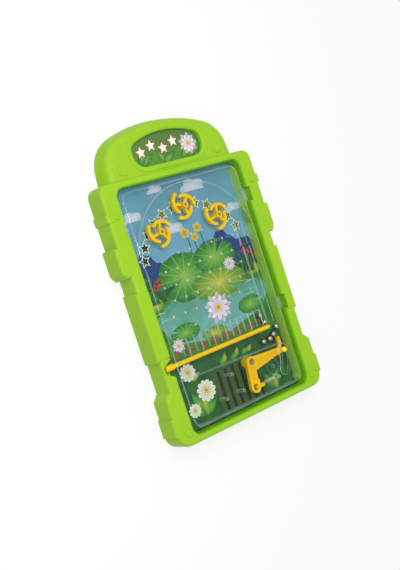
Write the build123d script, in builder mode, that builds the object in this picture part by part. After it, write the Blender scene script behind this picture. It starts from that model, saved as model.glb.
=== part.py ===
"""Tabletop pinball game: a moulded frame round a sunken playfield under a clear cover.

Millimetres, +X right, +Y up the playfield, +Z out of the front. The origin is the middle of the back face.
"""
import os
from math import atan2, cos, degrees, pi, radians, sin, sqrt

from build123d import *

# Steel balls, which set the height of the game and the width of its lane
ball_radius = 3.175
ball_headroom = 4.05
ball_rest = 0.15
lane_ball_rise = 61.4
lane_ball_inset = 5.4
trough_ball_offsets = [(-14.6, 5.9), (-6.1, 6.2), (0.0, 9.2)]
slot_ball_offsets = [(-5.9, 1.7), (-9.3, 9.5)]

# Sunken opening, its wall and notches. Rises are measured from its lower end and drops from its upper end
opening_width = 147.0
opening_length = 230.0
opening_corner = 8.0
opening_wall = 1.8
opening_edge_radius = 2.5
lug_notch_depth = 3.0
lug_length = 13.0
lug_height = 5.5
lug_clearance = 0.5
lug_high_drop = 36.0
lug_low_rise = 83.0
finger_notch_depth = 10.2
finger_notch_mouth = 17.2
finger_notch_end = 7.0
finger_notch_shift = -0.4
finger_notch_corner = 2.2
finger_floor = 1.6

# Casing round the opening
rim_side = 12.3
rim_end = 7.0
header_rise = 50.5
header_step = 5.5
wall = 2.0
edge_radius = 3.0
header_edge_radius = 7.0
header_draft = 14.0

# Stepped sides: how far each step stands out from the waist, and its length
shoulder_step = 4.7
shoulder_length = 85.0
bump_step = 8.2
bump_length = 28.5
bump_corner = 8.0
panel_step = 2.2
panel_gap = 14.5
panel_length = 64.5
panel_raise = 0.8
base_step = 6.2
base_length = 52.0
waist_overlap = 12.0
base_chamfer = 6.0
top_corner = 9.0
base_corner = 13.0

# Header outline and its oval window
header_foot_inset = 8.0
header_shoulder_inset = 12.5
header_crown_drop = 18.5
header_shoulder_radius = 34.0
header_overlap = 12.0
window_side_margin = 32.3
window_low_margin = 6.5
window_high_margin = 13.3
window_side_drop = 9.0
window_low_corner = 12.5
window_high_corner = 9.5
window_depth = 3.5
window_lip = 1.6
window_edge_radius = 2.2
window_rim_width = 4.6
window_rim_raise = 0.7
window_rim_edge = 0.5

# Pads and moulded rivets on the front
strap_width = 8.0
strap_step = 1.7
strap_length = 10.2
strap_drop = 30.0
pad_radius = 9.0
pad_step = 1.6
pad_overhang = 3.0
pad_rise = 20.5
pad_raise = 0.6
pad_edge_radius = 0.5
rivet_raise = 0.9
rivet_edge_radius = 0.8
header_rivet_inset = 17.1
header_rivet_rise = 9.0
header_rivet_radius = 5.5
corner_rivet_inset = 6.0
corner_rivet_rise = 12.0
corner_rivet_radius = 4.0
strap_rivet_radius = 2.8

# Back cover, its ribs, bosses and screws
back_thickness = 2.0
back_clearance = 0.25
rib_height = 5.4
rib_thickness = 1.6
rib_columns = 3
rib_rows = 4
boss_radius = 3.0
middle_boss_inset = 5.6
middle_boss_y = -10.0
screw_radius = 1.25
screw_clearance = 0.05
screw_length = 9.0
screw_head_radius = 2.5
screw_head_height = 1.1
screw_head_clearance = 0.3
cross_slot_width = 0.7
cross_slot_depth = 0.5

# Cards and clear cover
card_thickness = 0.6
flange_width = 6.5
flange_thickness = 1.6
cover_gap = 3.5
cover_sink = 2.0
cover_wall = 1.6
cover_edge_radius = 3.0
cover_corner = 9.0
slot_lip_width = 3.0
slot_lip_height = 1.0
slot_lip_edge_radius = 0.6
gate_ring_spot = (21.1, -11.6)
gate_ring_radius = 2.0
gate_ring_width = 0.8
gate_rim_radius = 7.8
gate_rim_width = 0.5
gate_ring_height = 0.3

# Clear guides between the card and the cover
rail_thickness = 1.1
arch_overhang = 2.6
arch_drop = 7.0
lane_play = 5.0
lane_low_rise = 68.0
lane_break_drop = 83.0
lane_high_drop = 59.0
lane_gap = 2.0
lane_jog = 1.4
trough_left_rise = 50.0
trough_right_rise = 46.2
lane_stop_height = 2.4
peg_radius = 1.1
peg_pitch = 13.5
peg_top_drop = 56.0
peg_rows = [
    (-1, 1),
    (-4, -2, 2, 4, 6),
    (-7, -5, -3, -1, 1, 3, 5),
    (-8, -6, -4, -2, 0, 2, 4, 6),
    (-7, -5, -3, -1, 1, 3, 5),
    (-8, -6, -4, -2, 0, 2, 4, 6),
    (-5,),
]
divider_count = 7
divider_pitch = 15.3
divider_last_gap = 13.5
divider_bar_gap = 3.0
divider_length = 16.3
divider_thickness = 1.1
post_radius = 1.7
post_wall = 0.7
post_offsets = [(-27.0, -2.9), (-19.4, -21.6), (-41.1, -22.1)]

# Spinners
spinner_center_x = -1.8
spinner_side_inset = 33.4
spinner_side_drop = 47.0
spinner_middle_drop = 28.8
spinner_side_turn = 24.0
spinner_middle_turn = -4.0
spinner_arms = 3
spinner_bar_sweep = 100.0
spinner_tip_reach = 12.9
spinner_bar_reach = 10.6
spinner_tail_reach = 8.7
spinner_bar_width = 3.0
spinner_tip_radius = 1.8
spinner_spoke_width = 2.3
spinner_hub_radius = 3.0
spinner_pin_radius = 1.5
spinner_rim_lift = 3.4
spinner_rim_drop = 3.6
running_clearance = 0.1
end_clearance = 0.3

# Launch lever, measured from its pivot
pivot_side_inset = 52.9
pivot_rise = 39.7
pivot_pin_radius = 3.2
lever_boss_radius = 5.5
lever_ring_radius = 4.75
lever_lift = 5.0
lever_top_gap = 1.2
lever_arm_reach = 39.4
lever_tip_y = -0.8
lever_arm_radius = 4.4
lever_tip_radius = 2.9
lever_lower = (-3.3, -24.0)
lever_lower_radius = 5.6
lever_web = [(0.0, 0.0), (38.0, -3.6), (2.4, -9.9)]
lever_pocket = [(-2.4, 0.9), (33.0, 0.6), (33.0, -12.0), (8.0, -17.8), (-5.3, -17.8)]
lever_pocket_depth = 1.6
lever_hole_radius = 3.2
slot_sweep = 27.5
knob_radius = 2.5
knob_rise = 4.2
knob_play = 0.5
knob_edge_radius = 1.2
striker_x = 43.5
striker_high = 12.1
striker_bend = 4.5
striker_width = 3.4
striker_height = 2.8
striker_clearance = 1.2
hook_radius = 1.9
hook_head_radius = 2.3
hook_head_length = 1.8
hook_reach = 7.7
hook_inset = 0.8
hook_rise = -0.8
hook_sink = 0.3

# Launch spring, an extension spring along X from the lever's hook to its post
spring_post_reach = 26.1
spring_rise = 1.4
spring_wire = 0.5
spring_coil_radius = 1.75
spring_turns = 10
spring_pitch = 1.05
spring_tail = 0.8
spring_samples_taken = 600

# Ball release bar
bar_rise = 64.7
bar_radius = 2.2
bar_top_clearance = 0.2
flap_thickness = 1.8
flap_left_gap = 2.0
flap_lane_gap = 9.6
bar_bearing_gap = 3.9
bar_bearing_thickness = 1.2
bar_bearing_width = 5.0
bar_bearing_skin = 0.65
bar_stub_radius = 1.25
bar_stub_reach = 0.6
release_knob_length = 9.0
release_knob_gap = 0.6
release_knob_radius = 3.1
release_knob_drop = 1.4
release_knob_cap = 1.2
press_clearance = 0.02

# Heights that follow from the values above
card_bottom = back_thickness + rib_height
card_top = card_bottom + card_thickness
flange_top = card_top + flange_thickness
play_height = 2 * ball_radius + ball_headroom
cover_under = card_top + play_height
cover_top = cover_under + cover_wall
casing_depth = cover_top + cover_sink
header_depth = casing_depth - header_step
header_card_top = header_depth - window_depth
lever_arm_height = play_height - lever_lift - lever_top_gap
spinner_rim_height = play_height - spinner_rim_lift - spinner_rim_drop
bar_z = cover_under - bar_top_clearance - bar_radius
bar_bearing_low = bar_z - bar_stub_radius - bar_bearing_skin
spring_z = card_top + lever_lift + lever_arm_height - hook_sink - hook_radius

# Widths, from the opening outward and inward
opening_half_x = opening_width / 2
opening_half_y = opening_length / 2
waist_half = opening_half_x + rim_side
shoulder_half = waist_half + shoulder_step
bump_half = waist_half + bump_step
panel_half = waist_half + panel_step
base_half = waist_half + base_step
header_foot_half = waist_half - header_foot_inset
header_shoulder_half = waist_half - header_shoulder_inset
window_half_width = header_shoulder_half - window_side_margin
strap_half = shoulder_half + strap_step
strap_inner = strap_half - strap_length
pad_half = base_half + pad_step
cover_half_x = opening_half_x - cover_gap
cover_half_y = opening_half_y - cover_gap
inner_half_x = cover_half_x - cover_wall
inner_half_y = cover_half_y - cover_wall
flange_half_x = cover_half_x + flange_width
flange_half_y = cover_half_y + flange_width

# Lengths along the casing, from the middle of the opening
body_half = opening_half_y + rim_end
header_top = body_half + header_rise
body_y = -header_rise / 2
shoulder_low = body_half - shoulder_length
bump_high = shoulder_low + bump_length
panel_high = shoulder_low - panel_gap
panel_low = panel_high - panel_length
base_high = base_length - body_half
waist_low = base_high - waist_overlap
waist_high = shoulder_low + waist_overlap
window_low = body_half + window_low_margin
window_high = header_top - window_high_margin
strap_y = body_half - strap_drop
pad_y = pad_rise - body_half
screw_spots = [
    (side * x, y)
    for x, y in (
        (header_shoulder_half - header_rivet_inset, body_half + header_rivet_rise),
        (strap_inner, strap_y),
        (waist_half - middle_boss_inset, middle_boss_y),
        (waist_half - corner_rivet_inset, corner_rivet_rise - body_half),
    )
    for side in (1, -1)
]
header_spots = [(x, y) for x, y in screw_spots if y > body_half]
body_spots = [(x, y) for x, y in screw_spots if y < body_half]

# Spots of the playfield, from the middle of the opening
bar_y = bar_rise - opening_half_y
finger_notch_y = bar_y + finger_notch_shift
lug_high_y = opening_half_y - lug_high_drop
lug_spots = [(1, lug_high_y), (-1, lug_high_y), (1, lug_low_rise - opening_half_y)]
arch_radius = inner_half_x + arch_overhang
arch_center_y = opening_half_y - arch_drop - arch_radius
lane_width = 2 * ball_radius + lane_play
lane_x = inner_half_x - lane_width - rail_thickness / 2
lane_low = lane_low_rise - opening_half_y
lane_break = opening_half_y - lane_break_drop
lane_high = opening_half_y - lane_high_drop
trough_left_y = trough_left_rise - opening_half_y
trough_right_y = trough_right_rise - opening_half_y
divider_low = bar_y + divider_bar_gap
divider_high = divider_low + divider_length
divider_first_x = lane_x - divider_last_gap - (divider_count - 1) * divider_pitch
pivot = (inner_half_x - pivot_side_inset, pivot_rise - opening_half_y)
post_spots = [(pivot[0] + x, pivot[1] + y) for x, y in post_offsets]
spring_post_x = pivot[0] + spring_post_reach
hook_y = pivot[1] + lever_lower[1] + hook_rise
spring_y = hook_y + spring_rise
flap_right = lane_x - flap_lane_gap
bar_bearing_x = flap_right + bar_bearing_gap
bar_right_end = bar_bearing_x + bar_stub_reach
lane_ball_spot = (inner_half_x - lane_ball_inset, lane_ball_rise - opening_half_y)
trough_ball_spots = [(lane_x + x, trough_right_y + y) for x, y in trough_ball_offsets]
slot_ball_spots = [(lane_x + x, divider_low + y) for x, y in slot_ball_offsets]


def field(height):
    """Plane parallel to the back face at a height, with its origin under the middle of the opening."""
    return Plane((0, body_y, height))


def band(half_width, low, high, depth):
    """Block right across the body with square corners and a rounded front edge."""
    with BuildPart() as block:
        with BuildSketch(field(0)):
            with Locations((0, (low + high) / 2)):
                Rectangle(2 * half_width, high - low)
        extrude(amount=depth)
        fillet(block.faces().sort_by(Axis.Z)[-1].edges(), edge_radius)
    return block.part


# Outlines that several pieces share
with BuildSketch() as header_outline:
    with BuildLine():
        foot_y = body_half - header_overlap
        shoulder_y = header_top - header_crown_drop
        Line((header_foot_half, foot_y), (header_shoulder_half, shoulder_y))
        ThreePointArc((header_shoulder_half, shoulder_y), (0, header_top), (-header_shoulder_half, shoulder_y))
        Polyline((-header_shoulder_half, shoulder_y), (-header_foot_half, foot_y), (header_foot_half, foot_y))
    make_face()
    fillet(header_outline.vertices().group_by(Axis.Y)[-1], header_shoulder_radius)

with BuildSketch() as window_outline:
    with BuildLine():
        side_y = window_high - window_side_drop
        Line((window_half_width, window_low), (window_half_width, side_y))
        ThreePointArc((window_half_width, side_y), (0, window_high), (-window_half_width, side_y))
        Polyline((-window_half_width, side_y), (-window_half_width, window_low), (window_half_width, window_low))
    make_face()
    fillet(window_outline.vertices().group_by(Axis.Y)[-1], window_high_corner)
    fillet(window_outline.vertices().group_by(Axis.Y)[0], window_low_corner)

with BuildSketch() as shoulder_outline:
    with Locations((0, (shoulder_low + body_half) / 2)):
        Rectangle(2 * shoulder_half, body_half - shoulder_low)
    fillet(shoulder_outline.vertices().group_by(Axis.Y)[-1], top_corner)

with BuildSketch() as base_outline:
    with Locations((0, (base_high - body_half) / 2)):
        Rectangle(2 * base_half, base_high + body_half)
    chamfer(base_outline.vertices().group_by(Axis.Y)[-1], base_chamfer)
    fillet(base_outline.vertices().group_by(Axis.Y)[0], base_corner)

with BuildSketch() as body_outline:
    with Locations((0, (waist_low + waist_high) / 2)):
        Rectangle(2 * waist_half, waist_high - waist_low)
    add(shoulder_outline.sketch_local)
    add(base_outline.sketch_local)

with BuildSketch() as notch_outline:
    with BuildLine():
        Polyline(
            (-opening_half_x, finger_notch_y + finger_notch_mouth / 2),
            (-opening_half_x - finger_notch_depth, finger_notch_y + finger_notch_end / 2),
            (-opening_half_x - finger_notch_depth, finger_notch_y - finger_notch_end / 2),
            (-opening_half_x, finger_notch_y - finger_notch_mouth / 2),
            close=True,
        )
    make_face()
    fillet(notch_outline.vertices().group_by(Axis.X)[0], finger_notch_corner)

with BuildSketch() as opening_outline:
    RectangleRounded(opening_width, opening_length, opening_corner)
    with Locations(*[(side * opening_half_x, y) for side, y in lug_spots]):
        Rectangle(2 * lug_notch_depth, lug_length + 2 * lug_clearance)
    add(notch_outline.sketch_local)

# Blocks of the casing: shoulders, base and bump
with BuildPart() as shoulder_block:
    with BuildSketch(field(0)):
        add(shoulder_outline.sketch_local)
    extrude(amount=casing_depth)
    fillet(shoulder_block.faces().sort_by(Axis.Z)[-1].edges(), edge_radius)

with BuildPart() as base_block:
    with BuildSketch(field(0)):
        add(base_outline.sketch_local)
    extrude(amount=casing_depth)
    fillet(base_block.faces().sort_by(Axis.Z)[-1].edges(), edge_radius)

with BuildPart() as bump_block:
    with BuildSketch(field(0)) as bump_outline:
        with Locations((0, (shoulder_low + bump_high) / 2)):
            Rectangle(2 * bump_half, bump_length)
        fillet(bump_outline.vertices().group_by(Axis.Y)[0], bump_corner)
    extrude(amount=casing_depth)
    fillet(bump_block.faces().sort_by(Axis.Z)[-1].edges(), edge_radius)

with BuildPart() as header_block:
    with BuildSketch(field(0)):
        add(header_outline.sketch_local)
    extrude(amount=header_depth, taper=header_draft)
    fillet(header_block.faces().sort_by(Axis.Z)[-1].edges(), header_edge_radius)
    with BuildSketch(field(header_card_top)):
        add(window_outline.sketch_local)
    extrude(amount=window_depth, mode=Mode.SUBTRACT)

with BuildPart() as window_rim:
    with BuildSketch(field(header_depth - wall)):
        add(window_outline.sketch_local)
        offset(amount=window_rim_width)
        add(window_outline.sketch_local, mode=Mode.SUBTRACT)
    extrude(amount=wall + window_rim_raise)
    rim_top = window_rim.faces().sort_by(Axis.Z)[-1]
    rim_inside = rim_top.inner_wires()[0].edges()
    fillet(rim_top.outer_wire().edges(), window_rim_edge)
    fillet(rim_inside, window_edge_radius)

with BuildPart() as header_hollow:
    with BuildSketch(field(0)):
        add(header_outline.sketch_local)
        offset(amount=-wall, kind=Kind.INTERSECTION)
    extrude(amount=header_depth - wall, taper=header_draft)
    fillet(header_hollow.faces().sort_by(Axis.Z)[-1].edges(), header_edge_radius - wall)

# Raised panels, one strip on each side of the opening
with BuildPart() as panel_strips:
    add(band(panel_half, panel_low, panel_high, casing_depth + panel_raise))
    with BuildSketch(field(0)):
        Rectangle(2 * (waist_half - wall), 2 * body_half)
    extrude(amount=casing_depth - wall, mode=Mode.SUBTRACT)
    with BuildSketch(field(0)):
        Rectangle(opening_width, opening_length)
    extrude(amount=casing_depth + panel_raise, mode=Mode.SUBTRACT)
    panel_inner_faces = panel_strips.faces().filter_by(Axis.X).group_by(lambda face: abs(face.center().X))[0]
    fillet(panel_inner_faces.edges().filter_by(Axis.Y).group_by(Axis.Z)[-1], opening_edge_radius)

with BuildPart() as pads:
    with BuildSketch(field(0)):
        with Locations((pad_half - pad_overhang, pad_y)):
            Circle(pad_radius)
        with Locations((pad_half - pad_radius, pad_y)):
            Rectangle(2 * pad_radius, 2 * pad_radius, mode=Mode.INTERSECT)
        with Locations(((strap_inner + strap_half) / 2, strap_y)):
            Rectangle(strap_length, strap_width)
        with Locations((strap_inner, strap_y)):
            Circle(strap_width / 2)
    extrude(amount=casing_depth + pad_raise)
    fillet(pads.faces().filter_by(Axis.X).edges().filter_by(Axis.Y).group_by(Axis.Z)[-1], edge_radius)
    pad_tops = pads.faces().filter_by(Axis.Z).group_by(Axis.Z)[-1]
    fillet(pad_tops.edges().filter_by(Axis.Y, reverse=True), pad_edge_radius)
    mirror(about=Plane.YZ)

# Moulded rivets, rooted in the front wall
with BuildPart() as rivets:
    for spots, radius, level in (
        (header_spots, header_rivet_radius, header_depth),
        (screw_spots[-2:], corner_rivet_radius, casing_depth),
        ([(side * strap_inner, strap_y) for side in (1, -1)], strap_rivet_radius, casing_depth + pad_raise),
    ):
        with BuildSketch(field(level - wall / 2)):
            with Locations(*spots):
                Circle(radius)
        extrude(amount=wall / 2 + rivet_raise)
    rivet_tops = [solid.faces().sort_by(Axis.Z)[-1] for solid in rivets.solids()]
    fillet([edge for top in rivet_tops for edge in top.edges()], rivet_edge_radius)

# Front frame: a shell with a front face, outer walls and a wall round the opening
with BuildPart() as front_frame:
    add(band(waist_half, waist_low, waist_high, casing_depth))
    add(shoulder_block.part)
    add(bump_block.part)
    add(base_block.part)
    add(header_block.part)
    add(pads.part)
    cavity_depth = casing_depth - wall
    with BuildSketch(field(0)):
        add(body_outline.sketch_local)
        offset(amount=-wall, kind=Kind.INTERSECTION)
    extrude(amount=cavity_depth, mode=Mode.SUBTRACT)
    add(header_hollow.part, mode=Mode.SUBTRACT)
    # Wall round the opening with a rounded rim, cut by the notches and closed at the finger notch by a floor
    with BuildSketch(field(flange_top)):
        add(opening_outline.sketch_local)
        offset(amount=opening_wall, kind=Kind.INTERSECTION)
    extrude(amount=cavity_depth - flange_top)
    with BuildSketch(field(flange_top)):
        RectangleRounded(opening_width, opening_length, opening_corner)
    extrude(amount=casing_depth, mode=Mode.SUBTRACT)
    level_faces = front_frame.faces().filter_by(Axis.Z)
    rim_face = level_faces.sort_by(lambda face: abs(face.center().Z - casing_depth))[0]
    fillet(rim_face.inner_wires().sort_by(SortBy.LENGTH)[-1].edges(), opening_edge_radius)
    add(panel_strips.part)
    with BuildSketch(field(flange_top)):
        add(opening_outline.sketch_local)
    extrude(amount=casing_depth, mode=Mode.SUBTRACT)
    with BuildSketch(field(flange_top)):
        add(notch_outline.sketch_local)
        offset(amount=opening_wall / 2)
    extrude(amount=finger_floor)
    # Header window with a raised rim, and a lip that its card is glued behind
    add(window_rim.part)
    with BuildSketch(field(header_card_top)):
        add(window_outline.sketch_local)
        offset(amount=window_lip)
        add(window_outline.sketch_local, mode=Mode.SUBTRACT)
    extrude(amount=window_depth - wall)
    # Bosses for the back screws
    with BuildSketch(field(back_thickness)):
        with Locations(*body_spots):
            Circle(boss_radius)
    extrude(amount=cavity_depth - back_thickness)
    with BuildSketch(field(back_thickness)):
        with Locations(*header_spots):
            Circle(boss_radius)
    extrude(amount=header_depth - wall - back_thickness)
    with BuildSketch(field(back_thickness)):
        with Locations(*screw_spots):
            Circle(screw_radius + screw_clearance)
    extrude(amount=screw_length, mode=Mode.SUBTRACT)
    add(rivets.part)

# Back cover: a plate let in between the outer walls, with ribs that carry the card
with BuildPart() as back_cover:
    back_inset = wall + back_clearance
    with BuildSketch(field(0)):
        add(body_outline.sketch_local)
        offset(amount=-back_inset, kind=Kind.INTERSECTION)
    extrude(amount=back_thickness)
    with BuildSketch(field(0)):
        add(header_outline.sketch_local)
        offset(amount=-back_inset, kind=Kind.INTERSECTION)
    extrude(amount=back_thickness, taper=header_draft)
    with BuildSketch(field(back_thickness)):
        RectangleRounded(2 * flange_half_x, 2 * flange_half_y, opening_corner)
        RectangleRounded(opening_width, opening_length, opening_corner, mode=Mode.SUBTRACT)
        with GridLocations(opening_width / (rib_columns + 1), 0, rib_columns, 1):
            Rectangle(rib_thickness, opening_length)
        with GridLocations(0, opening_length / (rib_rows + 1), 1, rib_rows):
            Rectangle(opening_width, rib_thickness)
    extrude(amount=rib_height)
    with BuildSketch(field(0)):
        with Locations(*screw_spots):
            Circle(screw_head_radius + screw_head_clearance)
    extrude(amount=screw_head_height, mode=Mode.SUBTRACT)
    with BuildSketch(field(0)):
        with Locations(*screw_spots):
            Circle(screw_radius + screw_head_clearance)
    extrude(amount=back_thickness, mode=Mode.SUBTRACT)

# Back screws: flat heads with a cross recess, sunk flush with the back
with BuildPart() as back_cover_screws:
    with BuildSketch(field(0)):
        with Locations(*screw_spots):
            Circle(screw_head_radius)
    extrude(amount=screw_head_height)
    with BuildSketch(field(screw_head_height)):
        with Locations(*screw_spots):
            Circle(screw_radius)
    extrude(amount=screw_length)
    with BuildSketch(field(0)):
        with Locations(*screw_spots):
            Rectangle(2 * screw_head_radius - 2 * cross_slot_width, cross_slot_width)
            Rectangle(cross_slot_width, 2 * screw_head_radius - 2 * cross_slot_width)
    extrude(amount=cross_slot_depth, mode=Mode.SUBTRACT)

# Printed cards
with BuildPart() as playfield_card:
    with BuildSketch(field(card_bottom)):
        RectangleRounded(2 * flange_half_x, 2 * flange_half_y, opening_corner)
    extrude(amount=card_thickness)

with BuildPart() as header_card:
    with BuildSketch(field(header_card_top - card_thickness)):
        add(window_outline.sketch_local)
        offset(amount=window_lip)
    extrude(amount=card_thickness)

# Clear cover: a dome on a flange that the frame's inner wall holds down
knob_reach = sqrt(lever_arm_reach**2 + lever_tip_y**2)
knob_rest_angle = degrees(atan2(lever_tip_y, lever_arm_reach))
knob_path = CenterArc(pivot, knob_reach, knob_rest_angle - slot_sweep, slot_sweep)
slot_width = 2 * (knob_radius + knob_play)
lug_reach = cover_gap + lug_notch_depth - lug_clearance

with BuildPart() as clear_cover:
    with BuildSketch(field(card_top)):
        RectangleRounded(2 * cover_half_x, 2 * cover_half_y, cover_corner)
    extrude(amount=cover_top - card_top)
    fillet(clear_cover.faces().sort_by(Axis.Z)[-1].edges(), cover_edge_radius)
    with BuildSketch(field(card_top)):
        RectangleRounded(2 * flange_half_x, 2 * flange_half_y, opening_corner)
    extrude(amount=flange_thickness)
    with BuildSketch(field(flange_top)):
        with Locations(*[(side * (cover_half_x + lug_reach / 2), y) for side, y in lug_spots]):
            Rectangle(lug_reach, lug_length)
    extrude(amount=lug_height)
    with BuildSketch(field(cover_top)):
        SlotArc(knob_path, slot_width + 2 * slot_lip_width)
    extrude(amount=slot_lip_height)
    fillet(clear_cover.faces().sort_by(Axis.Z)[-1].edges(), slot_lip_edge_radius)
    with BuildSketch(field(cover_top)):
        with Locations((pivot[0] + gate_ring_spot[0], pivot[1] + gate_ring_spot[1])):
            Circle(gate_rim_radius)
            Circle(gate_rim_radius - gate_rim_width, mode=Mode.SUBTRACT)
            Circle(gate_ring_radius)
            Circle(gate_ring_radius - gate_ring_width, mode=Mode.SUBTRACT)
    extrude(amount=gate_ring_height)
    with BuildSketch(field(card_top)):
        RectangleRounded(2 * inner_half_x, 2 * inner_half_y, cover_corner - cover_wall)
    extrude(amount=play_height, mode=Mode.SUBTRACT)
    with BuildSketch(field(cover_under)):
        SlotArc(knob_path, slot_width)
    extrude(amount=casing_depth, mode=Mode.SUBTRACT)
    # Bearings of the release bar: a hole in the left wall and a lug under the top
    with BuildSketch(Plane.YZ.offset(-cover_half_x)):
        with Locations((body_y + bar_y, bar_z)):
            Circle(bar_radius + running_clearance)
    extrude(amount=cover_wall, mode=Mode.SUBTRACT)
    with BuildSketch(Plane.YZ.offset(bar_bearing_x - bar_bearing_thickness / 2)):
        with Locations((body_y + bar_y, (bar_bearing_low + cover_under) / 2)):
            Rectangle(bar_bearing_width, cover_under - bar_bearing_low)
        with Locations((body_y + bar_y, bar_z)):
            Circle(bar_stub_radius + running_clearance, mode=Mode.SUBTRACT)
    extrude(amount=bar_bearing_thickness)

# Clear guides, pegs and posts, which stand between the card and the cover
with BuildPart() as arch_rail:
    with BuildSketch(field(card_top)):
        with Locations((0, arch_center_y)):
            Circle(arch_radius)
            Circle(arch_radius - rail_thickness, mode=Mode.SUBTRACT)
        with Locations((0, arch_center_y + arch_radius / 2)):
            Rectangle(2 * inner_half_x, arch_radius, mode=Mode.INTERSECT)
    extrude(amount=play_height)

with BuildPart() as lane_rail:
    lower_length = lane_break - lane_gap / 2 - lane_low
    upper_length = lane_high - lane_break - lane_gap / 2
    with BuildSketch(field(card_top)):
        with Locations((lane_x, lane_low + lower_length / 2)):
            SlotOverall(lower_length, rail_thickness, rotation=90)
        with Locations((lane_x - lane_jog, lane_high - upper_length / 2)):
            SlotOverall(upper_length, rail_thickness, rotation=90)
    extrude(amount=play_height)

with BuildPart() as trough_rail:
    with BuildSketch(field(card_top)):
        with BuildLine():
            Polyline(
                (-inner_half_x, trough_left_y),
                (lane_x, trough_right_y),
                (lane_x, trough_right_y - rail_thickness),
                (-inner_half_x, trough_left_y - rail_thickness),
                close=True,
            )
        make_face()
    extrude(amount=play_height)
    with BuildSketch(field(card_top)):
        with Locations(((lane_x + inner_half_x) / 2, trough_right_y - rail_thickness / 2)):
            Rectangle(inner_half_x - lane_x, rail_thickness)
    extrude(amount=lane_stop_height)

peg_room = peg_radius + 2 * ball_radius
peg_spots = [
    (step * peg_pitch / 2, opening_half_y - peg_top_drop - row * peg_pitch)
    for row, half_steps in enumerate(peg_rows)
    for step in half_steps
]
peg_spots = [
    (x, y)
    for x, y in peg_spots
    if peg_room - inner_half_x < x < lane_x - peg_room and y > divider_high + peg_room
]

with BuildPart() as pegs:
    with BuildSketch(field(card_top)):
        with Locations(*peg_spots):
            Circle(peg_radius)
    extrude(amount=play_height)

divider_spots = [
    (x, divider_low + divider_length / 2)
    for x in [divider_first_x + number * divider_pitch for number in range(divider_count)]
    if x > 2 * ball_radius - inner_half_x
]

with BuildPart() as slot_dividers:
    with BuildSketch(field(card_top)):
        with Locations(*divider_spots):
            SlotOverall(divider_length, divider_thickness, rotation=90)
    extrude(amount=play_height)

with BuildPart() as support_posts:
    with BuildSketch(field(card_top)):
        with Locations(*post_spots):
            Circle(post_radius)
            Circle(post_radius - post_wall, mode=Mode.SUBTRACT)
    extrude(amount=play_height)

with BuildPart() as spring_post:
    with BuildSketch(field(card_top)):
        with Locations((spring_post_x, spring_y)):
            Circle(post_radius)
            Circle(post_radius - post_wall, mode=Mode.SUBTRACT)
    extrude(amount=play_height)

# Spinners: a hub with three spokes, each ending in a curved bar that trails from a round tip
spinner_tip = Vector(spinner_tip_reach, 0)
spinner_bend = Vector(spinner_bar_reach, 0).rotate(Axis.Z, spinner_bar_sweep / 2)
spinner_tail = Vector(spinner_tail_reach, 0).rotate(Axis.Z, spinner_bar_sweep)
spinner_bar_arc = ThreePointArc(spinner_tip, spinner_bend, spinner_tail)
spinner_spread = inner_half_x - spinner_side_inset
spinner_spots = [
    (spinner_center_x - spinner_spread, opening_half_y - spinner_side_drop),
    (spinner_center_x, opening_half_y - spinner_middle_drop),
    (spinner_center_x + spinner_spread, opening_half_y - spinner_side_drop),
]


def spinner(spot, turn):
    """Spinner at a spot of the playfield with its first tip turned by an angle."""
    with BuildPart() as wheel:
        with BuildSketch(Plane((spot[0], body_y + spot[1], card_top + spinner_rim_lift))):
            with PolarLocations(0, spinner_arms, start_angle=turn):
                with Locations(spinner_bend / 2):
                    Rectangle(spinner_bar_reach, spinner_spoke_width, rotation=spinner_bar_sweep / 2)
                SlotArc(spinner_bar_arc, spinner_bar_width)
                with Locations(spinner_tip):
                    Circle(spinner_tip_radius)
        extrude(amount=spinner_rim_height)
        with BuildSketch(Plane((spot[0], body_y + spot[1], card_top + end_clearance))):
            Circle(spinner_hub_radius)
        extrude(amount=play_height - 2 * end_clearance)
        with BuildSketch(Plane((spot[0], body_y + spot[1], card_top))):
            Circle(spinner_pin_radius + running_clearance)
        extrude(amount=play_height, mode=Mode.SUBTRACT)
    return wheel


spinner_left = spinner(spinner_spots[0], spinner_side_turn)
spinner_middle = spinner(spinner_spots[1], spinner_middle_turn)
spinner_right = spinner(spinner_spots[2], spinner_side_turn)

with BuildPart() as spinner_pins:
    with BuildSketch(field(card_top)):
        with Locations(*spinner_spots):
            Circle(spinner_pin_radius)
    extrude(amount=play_height)


# Launch lever: a bell crank with a finger knob, a striker for the lane and a hook for the spring
def at_pivot(height):
    """Plane parallel to the back face at a height, with its origin on the lever's pivot."""
    return Plane((pivot[0], body_y + pivot[1], height))


arm_low = card_top + lever_lift
arm_high = arm_low + lever_arm_height
hook_start = pivot[0] + lever_lower[0] + hook_inset
hook_end = pivot[0] + hook_reach

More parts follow.
